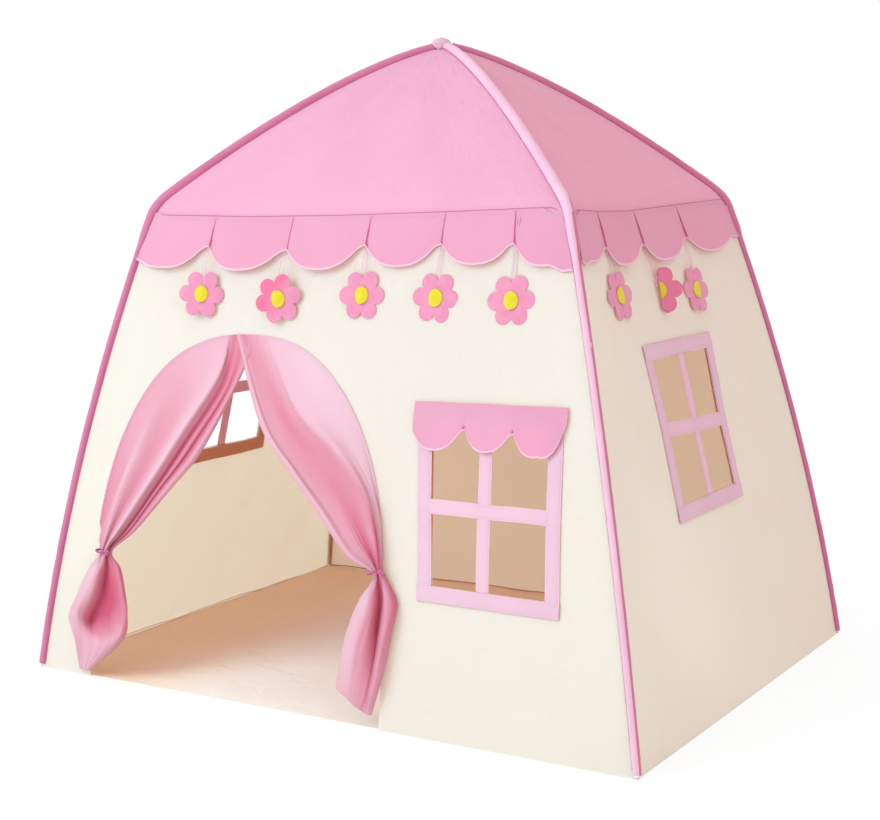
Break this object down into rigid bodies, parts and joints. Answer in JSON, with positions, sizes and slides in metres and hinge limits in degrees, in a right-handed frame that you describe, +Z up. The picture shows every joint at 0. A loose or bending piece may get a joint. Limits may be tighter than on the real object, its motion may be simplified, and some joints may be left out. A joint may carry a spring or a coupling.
{
  "type": "kids play tent",
  "caption": "Fabric play house on a bent-pole frame, with an arched doorway, tied-back curtains, cross-barred windows, scalloped eaves and hanging felt flowers.",
  "frame": {"origin": "middle of the floor sheet's underside, on the ground", "axes": "+X along the door side to the right as seen by someone who faces the door, +Y from the door side to the back, +Z up"},
  "size_m": [1.3122, 1.0383, 1.2299],
  "materials": {
    "white_cloth": "plain woven polyester, matt",
    "pink_roof_cloth": "plain woven polyester, slightly glossy",
    "pink_valance_cloth": "plain woven polyester, matt",
    "deep_pink_sleeve_cloth": "folded woven tape, matt",
    "pink_curtain_satin": "satin, soft sheen",
    "pink_window_tape": "woven tape, matt",
    "pink_felt": "felt, matt, with a yellow middle",
    "white_pipe_plastic": "extruded plastic, satin",
    "grey_connector_plastic": "moulded plastic, satin",
    "floor_cloth": "coated woven polyester, matt"
  },
  "bodies": {
    "tent": {"wall_front": "white_cloth", "wall_right": "white_cloth", "wall_back": "white_cloth", "wall_left": "white_cloth", "roof_panel_front": "pink_roof_cloth", "roof_panel_right": "pink_roof_cloth", "roof_panel_back": "pink_roof_cloth", "roof_panel_left": "pink_roof_cloth", "eave_valance_front": "pink_valance_cloth", "eave_valance_right": "pink_valance_cloth", "eave_valance_back": "pink_valance_cloth", "eave_valance_left": "pink_valance_cloth", "pole_sleeve_front_left": "deep_pink_sleeve_cloth", "pole_sleeve_front_right": "deep_pink_sleeve_cloth", "pole_sleeve_back_right": "deep_pink_sleeve_cloth", "pole_sleeve_back_left": "deep_pink_sleeve_cloth", "peak_cap": "deep_pink_sleeve_cloth", "curtain_tie_left": "deep_pink_sleeve_cloth", "curtain_tie_right": "deep_pink_sleeve_cloth", "curtain_left": "pink_curtain_satin", "curtain_right": "pink_curtain_satin", "window_frame_front": "pink_window_tape", "window_frame_right": "pink_window_tape", "window_frame_left": "pink_window_tape", "leg_pipe_lower_front_left": "white_pipe_plastic", "leg_pipe_lower_front_right": "white_pipe_plastic", "leg_pipe_lower_back_right": "white_pipe_plastic", "leg_pipe_lower_back_left": "white_pipe_plastic", "leg_pipe_upper_front_left": "white_pipe_plastic", "leg_pipe_upper_front_right": "white_pipe_plastic", "leg_pipe_upper_back_right": "white_pipe_plastic", "leg_pipe_upper_back_left": "white_pipe_plastic", "roof_pipe_front_left": "white_pipe_plastic", "roof_pipe_front_right": "white_pipe_plastic", "roof_pipe_back_right": "white_pipe_plastic", "roof_pipe_back_left": "white_pipe_plastic", "eave_elbow_front_left": "grey_connector_plastic", "eave_elbow_front_right": "grey_connector_plastic", "eave_elbow_back_right": "grey_connector_plastic", "eave_elbow_back_left": "grey_connector_plastic", "peak_hub": "grey_connector_plastic", "floor_sheet": "floor_cloth"},
    "flower_front_1": {"hanging_flower_front_1": "pink_felt"},
    "flower_front_2": {"hanging_flower_front_2": "pink_felt"},
    "flower_front_3": {"hanging_flower_front_3": "pink_felt"},
    "flower_front_4": {"hanging_flower_front_4": "pink_felt"},
    "flower_front_5": {"hanging_flower_front_5": "pink_felt"},
    "flower_right_1": {"hanging_flower_right_1": "pink_felt"},
    "flower_right_2": {"hanging_flower_right_2": "pink_felt"},
    "flower_right_3": {"hanging_flower_right_3": "pink_felt"},
    "flower_left_1": {"hanging_flower_left_1": "pink_felt"},
    "flower_left_2": {"hanging_flower_left_2": "pink_felt"},
    "flower_left_3": {"hanging_flower_left_3": "pink_felt"},
    "awning": {"window_awning": "pink_valance_cloth"},
    "tail_left": {"curtain_tail_left": "pink_curtain_satin"},
    "tail_right": {"curtain_tail_right": "pink_curtain_satin"}
  },
  "joints": [
    {"name": "flower_front_1_swing", "type": "hinge", "parent": "tent", "child": "flower_front_1", "pos_m": [-0.28731, -0.35535, 0.89374], "axis": [-1, 0, 0], "range_deg": [0, 90]},
    {"name": "flower_front_2_swing", "type": "hinge", "parent": "tent", "child": "flower_front_2", "pos_m": [-0.11235, -0.35535, 0.89374], "axis": [-1, 0, 0], "range_deg": [0, 90]},
    {"name": "flower_front_3_swing", "type": "hinge", "parent": "tent", "child": "flower_front_3", "pos_m": [0.04604, -0.35535, 0.89374], "axis": [-1, 0, 0], "range_deg": [0, 90]},
    {"name": "flower_front_4_swing", "type": "hinge", "parent": "tent", "child": "flower_front_4", "pos_m": [0.19799, -0.35535, 0.89374], "axis": [-1, 0, 0], "range_deg": [0, 90]},
    {"name": "flower_front_5_swing", "type": "hinge", "parent": "tent", "child": "flower_front_5", "pos_m": [0.33796, -0.35535, 0.89374], "axis": [-1, 0, 0], "range_deg": [0, 90]},
    {"name": "flower_right_1_swing", "type": "hinge", "parent": "tent", "child": "flower_right_1", "pos_m": [0.45645, -0.22446, 0.8939], "axis": [0, -1, 0], "range_deg": [0, 90]},
    {"name": "flower_right_2_swing", "type": "hinge", "parent": "tent", "child": "flower_right_2", "pos_m": [0.45645, -0.06769, 0.8939], "axis": [0, -1, 0], "range_deg": [0, 90]},
    {"name": "flower_right_3_swing", "type": "hinge", "parent": "tent", "child": "flower_right_3", "pos_m": [0.45645, 0.11045, 0.8939], "axis": [0, -1, 0], "range_deg": [0, 90]},
    {"name": "flower_left_1_swing", "type": "hinge", "parent": "tent", "child": "flower_left_1", "pos_m": [-0.45645, 0.11045, 0.8939], "axis": [0, 1, 0], "range_deg": [0, 90]},
    {"name": "flower_left_2_swing", "type": "hinge", "parent": "tent", "child": "flower_left_2", "pos_m": [-0.45645, -0.06769, 0.8939], "axis": [0, 1, 0], "range_deg": [0, 90]},
    {"name": "flower_left_3_swing", "type": "hinge", "parent": "tent", "child": "flower_left_3", "pos_m": [-0.45645, -0.22446, 0.8939], "axis": [0, 1, 0], "range_deg": [0, 90]},
    {"name": "awning_lift", "type": "hinge", "parent": "tent", "child": "awning", "pos_m": [0.34697, -0.42103, 0.58224], "axis": [-1, 0, 0], "range_deg": [0, 150]},
    {"name": "tail_left_swing", "type": "hinge", "parent": "tent", "child": "tail_left", "pos_m": [-0.48499, -0.49288, 0.24819], "axis": [-1, 0, 0], "range_deg": [0, 60]},
    {"name": "tail_right_swing", "type": "hinge", "parent": "tent", "child": "tail_right", "pos_m": [0.13301, -0.49025, 0.26819], "axis": [-1, 0, 0], "range_deg": [0, 60]}
  ]
}
